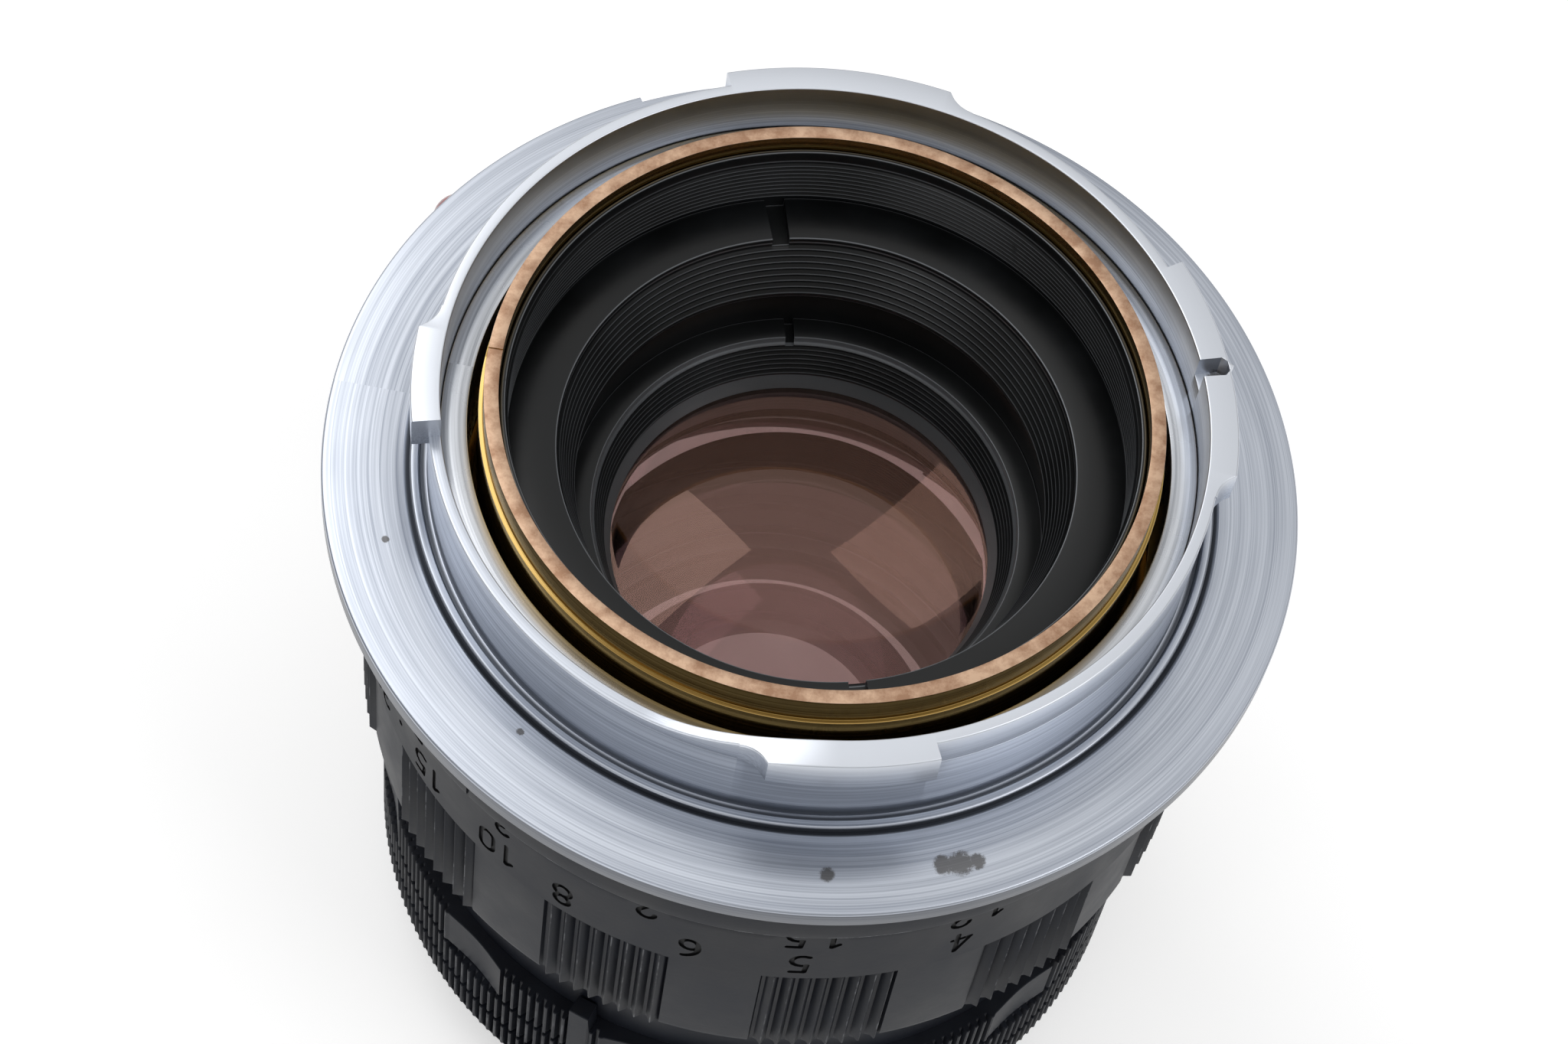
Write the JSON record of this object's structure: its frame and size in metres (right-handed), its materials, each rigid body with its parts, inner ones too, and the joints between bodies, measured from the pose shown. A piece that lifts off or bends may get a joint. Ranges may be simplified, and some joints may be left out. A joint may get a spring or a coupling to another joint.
{
  "type": "bayonet camera lens",
  "caption": "Compact camera lens with a chromed bayonet flange, brass rangefinder cam tube, ridged black light well, fluted focus ring and ridged aperture ring.",
  "frame": {"origin": "centre of the bayonet flange register face, on the optical axis", "axes": "+Z along the optical axis towards the camera, -Z towards the subject; the locking slot of the bayonet lies 17.5 degrees anticlockwise from +X seen from the camera side"},
  "size_m": [0.0557, 0.0555, 0.0539],
  "materials": {
    "chrome_mount": "satin chrome with fine turning lines, edges scuffed",
    "turned_aluminium": "bright turned aluminium",
    "black_lacquer": "semi-gloss black lacquer over metal, edges worn bright",
    "black_anodised": "matte blue-black, ridged against stray light",
    "brass_tube": "turned brass, face darkened to copper brown",
    "brass_drive": "turned brass",
    "steel": "turned steel",
    "red_bead": "polished red bead",
    "coated_glass": "polished glass, brown and mauve coating",
    "blade_steel": "matte blackened steel"
  },
  "bodies": {
    "mount": {"bayonet_mount": "chrome_mount", "fixed_sleeve": "turned_aluminium", "depth_collar": "black_lacquer", "index_bead": "red_bead", "collar_screws": "steel", "guide_keys": "brass_drive", "key_screws": "steel", "focus_retainer": "brass_drive", "focus_stop_pin": "steel"},
    "focus": {"focus_scale_ring": "black_lacquer", "focus_grip_ring": "black_lacquer", "ring_screws": "steel", "drive_sleeve": "brass_drive", "drive_screws": "steel"},
    "head": {"cam_screws": "steel", "cam_tube": "brass_tube", "click_ball": "steel", "click_spring": "steel", "filter_ring": "black_lacquer", "front_cell": "black_anodised", "front_element": "coated_glass", "front_inner_element": "coated_glass", "front_ring": "black_anodised", "front_spacer": "black_anodised", "head_barrel": "black_lacquer", "iris_base": "black_anodised", "optical_barrel": "black_anodised", "optical_nut": "black_anodised", "rear_cell": "black_anodised", "rear_element": "coated_glass", "rear_inner_element": "coated_glass", "rear_spacer": "black_anodised", "slotted_ring_large": "black_anodised", "slotted_ring_small": "black_anodised"},
    "aperture": {"aperture_ring": "black_lacquer", "iris_drive_pin": "steel", "iris_ring": "black_anodised"},
    "blade_1": {"iris_blade_1": "blade_steel"},
    "blade_2": {"iris_blade_2": "blade_steel"},
    "blade_3": {"iris_blade_3": "blade_steel"},
    "blade_4": {"iris_blade_4": "blade_steel"},
    "blade_5": {"iris_blade_5": "blade_steel"},
    "blade_6": {"iris_blade_6": "blade_steel"},
    "blade_7": {"iris_blade_7": "blade_steel"},
    "blade_8": {"iris_blade_8": "blade_steel"},
    "blade_9": {"iris_blade_9": "blade_steel"},
    "blade_10": {"iris_blade_10": "blade_steel"}
  },
  "joints": [
    {"name": "focus_turn", "type": "hinge", "parent": "mount", "child": "focus", "pos_m": [0, 0, -0.0145], "axis": [0, 0, 1], "range_deg": [-127.5, 0]},
    {"name": "head_travel", "type": "slide", "parent": "mount", "child": "head", "axis": [0, 0, -1], "range_m": [0, 0.0028]},
    {"name": "aperture_turn", "type": "hinge", "parent": "head", "child": "aperture", "pos_m": [0, 0, -0.0365], "axis": [0, 0, 1], "range_deg": [0, 63]},
    {"name": "blade_1_swing", "type": "hinge", "parent": "head", "child": "blade_1", "pos_m": [0.015, 0, -0.0236], "axis": [0, 0, 1], "range_deg": [0, 36]},
    {"name": "blade_2_swing", "type": "hinge", "parent": "head", "child": "blade_2", "pos_m": [0.01214, 0.00882, -0.0236], "axis": [0, 0, 1], "range_deg": [0, 36]},
    {"name": "blade_3_swing", "type": "hinge", "parent": "head", "child": "blade_3", "pos_m": [0.00464, 0.01427, -0.0236], "axis": [0, 0, 1], "range_deg": [0, 36]},
    {"name": "blade_4_swing", "type": "hinge", "parent": "head", "child": "blade_4", "pos_m": [-0.00464, 0.01427, -0.0236], "axis": [0, 0, 1], "range_deg": [0, 36]},
    {"name": "blade_5_swing", "type": "hinge", "parent": "head", "child": "blade_5", "pos_m": [-0.01214, 0.00882, -0.0236], "axis": [0, 0, 1], "range_deg": [0, 36]},
    {"name": "blade_6_swing", "type": "hinge", "parent": "head", "child": "blade_6", "pos_m": [-0.015, 0, -0.0236], "axis": [0, 0, 1], "range_deg": [0, 36]},
    {"name": "blade_7_swing", "type": "hinge", "parent": "head", "child": "blade_7", "pos_m": [-0.01214, -0.00882, -0.0236], "axis": [0, 0, 1], "range_deg": [0, 36]},
    {"name": "blade_8_swing", "type": "hinge", "parent": "head", "child": "blade_8", "pos_m": [-0.00464, -0.01427, -0.0236], "axis": [0, 0, 1], "range_deg": [0, 36]},
    {"name": "blade_9_swing", "type": "hinge", "parent": "head", "child": "blade_9", "pos_m": [0.00464, -0.01427, -0.0236], "axis": [0, 0, 1], "range_deg": [0, 36]},
    {"name": "blade_10_swing", "type": "hinge", "parent": "head", "child": "blade_10", "pos_m": [0.01214, -0.00882, -0.0236], "axis": [0, 0, 1], "range_deg": [0, 36]}
  ],
  "couplings": [
    {"joint": "head_travel", "follows": "focus_turn", "m_per_rad": -0.0012556},
    {"joint": "blade_1_swing", "follows": "aperture_turn", "ratio": 0.57143},
    {"joint": "blade_2_swing", "follows": "aperture_turn", "ratio": 0.57143},
    {"joint": "blade_3_swing", "follows": "aperture_turn", "ratio": 0.57143},
    {"joint": "blade_4_swing", "follows": "aperture_turn", "ratio": 0.57143},
    {"joint": "blade_5_swing", "follows": "aperture_turn", "ratio": 0.57143},
    {"joint": "blade_6_swing", "follows": "aperture_turn", "ratio": 0.57143},
    {"joint": "blade_7_swing", "follows": "aperture_turn", "ratio": 0.57143},
    {"joint": "blade_8_swing", "follows": "aperture_turn", "ratio": 0.57143},
    {"joint": "blade_9_swing", "follows": "aperture_turn", "ratio": 0.57143},
    {"joint": "blade_10_swing", "follows": "aperture_turn", "ratio": 0.57143}
  ]
}
